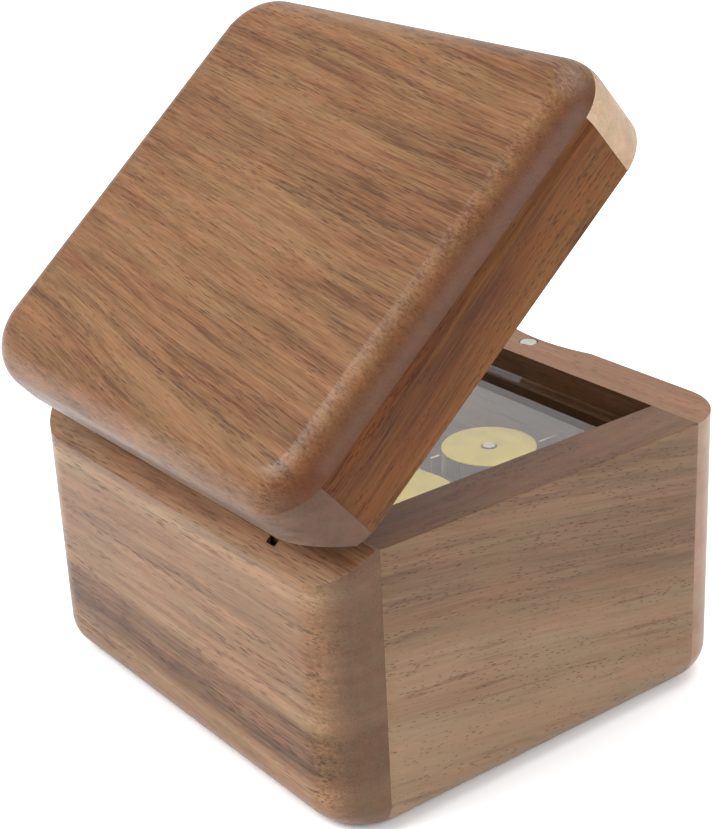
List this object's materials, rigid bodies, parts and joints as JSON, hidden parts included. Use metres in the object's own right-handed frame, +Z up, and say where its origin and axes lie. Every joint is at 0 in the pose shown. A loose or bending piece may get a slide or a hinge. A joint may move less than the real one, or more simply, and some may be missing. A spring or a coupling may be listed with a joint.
{
  "type": "wind-up music box",
  "caption": "Small wooden wind-up music box with a hinged lid standing open, a clear inner cover and a pinned-cylinder movement with comb, spring motor and governor.",
  "frame": {"origin": "on the underside of the base block, at the middle of the body's outline in plan", "axes": "+X to the right seen from the front, +Y from the hinge side towards the front, +Z up"},
  "size_m": [0.08, 0.0789, 0.0965],
  "materials": {
    "walnut": "satin varnished walnut",
    "bare_wood": "unvarnished walnut",
    "clear_cover": "clear polished acrylic",
    "gold_plate": "polished pale gold plating",
    "brass": "satin brass",
    "steel": "polished steel",
    "nickel": "nickel plated",
    "spring_steel": "blued spring steel"
  },
  "bodies": {
    "case": {"base_block": "bare_wood", "wall_back": "walnut", "wall_front": "walnut", "wall_left": "walnut", "wall_right": "walnut", "ledge_back": "walnut", "ledge_front": "walnut", "ledge_left": "walnut", "ledge_right": "walnut", "cover_plate": "clear_cover", "body_magnet": "nickel", "hinge_body_leaf_left": "brass", "hinge_body_leaf_right": "brass", "hinge_pin_left": "steel", "hinge_pin_right": "steel", "bedplate": "gold_plate", "movement_screw_1": "steel", "movement_screw_2": "steel", "movement_screw_3": "steel", "spring_housing": "gold_plate", "housing_screw_1": "steel", "housing_screw_2": "steel", "mainspring": "spring_steel", "cylinder_bearing": "gold_plate", "comb_base": "gold_plate", "comb": "steel", "comb_screw_1": "brass", "comb_screw_2": "brass", "gear_frame_inner": "gold_plate", "gear_frame_outer": "gold_plate", "worm_wheel_bearing": "gold_plate", "governor_cap": "gold_plate", "governor_bracket": "gold_plate", "bracket_screw": "steel"},
    "lid": {"lid_top_panel": "walnut", "lid_wall_back": "walnut", "lid_wall_front": "walnut", "lid_wall_left": "walnut", "lid_wall_right": "walnut", "lid_magnet": "nickel", "hinge_lid_leaf_left": "brass", "hinge_lid_leaf_right": "brass"},
    "winder": {"great_gear": "brass", "spring_arbor": "steel", "winding_key": "nickel"},
    "cylinder_unit": {"cylinder": "gold_plate", "cylinder_disc_left": "brass", "cylinder_disc_right": "brass", "cylinder_arbor": "steel", "cylinder_gear": "brass"},
    "transfer_unit": {"transfer_shaft": "steel", "transfer_pinion": "steel", "transfer_wheel": "brass"},
    "worm_wheel_unit": {"worm_wheel_shaft": "steel", "worm_wheel_pinion": "steel", "worm_wheel": "brass"},
    "fan_unit": {"worm_shaft": "nickel", "fan": "steel"}
  },
  "joints": [
    {"name": "lid_hinge", "type": "hinge", "parent": "case", "child": "lid", "pos_m": [0, -0.0327, 0.04295], "axis": [1, 0, 0], "range_deg": [-40.4, 64.6]},
    {"name": "cylinder_spin", "type": "hinge", "parent": "case", "child": "cylinder_unit", "pos_m": [0, -0.0116, 0.026], "axis": [1, 0, 0], "continuous": true},
    {"name": "winder_spin", "type": "hinge", "parent": "case", "child": "winder", "pos_m": [0.0183, -0.0116, 0.02], "axis": [0, 0, 1], "continuous": true},
    {"name": "transfer_spin", "type": "hinge", "parent": "case", "child": "transfer_unit", "pos_m": [0, -0.0024, 0.02855], "axis": [1, 0, 0], "continuous": true},
    {"name": "worm_wheel_spin", "type": "hinge", "parent": "case", "child": "worm_wheel_unit", "pos_m": [0, 0.0045, 0.0245], "axis": [1, 0, 0], "continuous": true},
    {"name": "fan_spin", "type": "hinge", "parent": "case", "child": "fan_unit", "pos_m": [0.0146, 0.0109, 0.025], "axis": [0, 0, 1], "continuous": true}
  ],
  "couplings": [
    {"joint": "winder_spin", "follows": "cylinder_spin", "ratio": -0.61111},
    {"joint": "transfer_spin", "follows": "cylinder_spin", "ratio": -2.75},
    {"joint": "worm_wheel_spin", "follows": "cylinder_spin", "ratio": 8.25},
    {"joint": "fan_spin", "follows": "cylinder_spin", "ratio": -82.5}
  ]
}
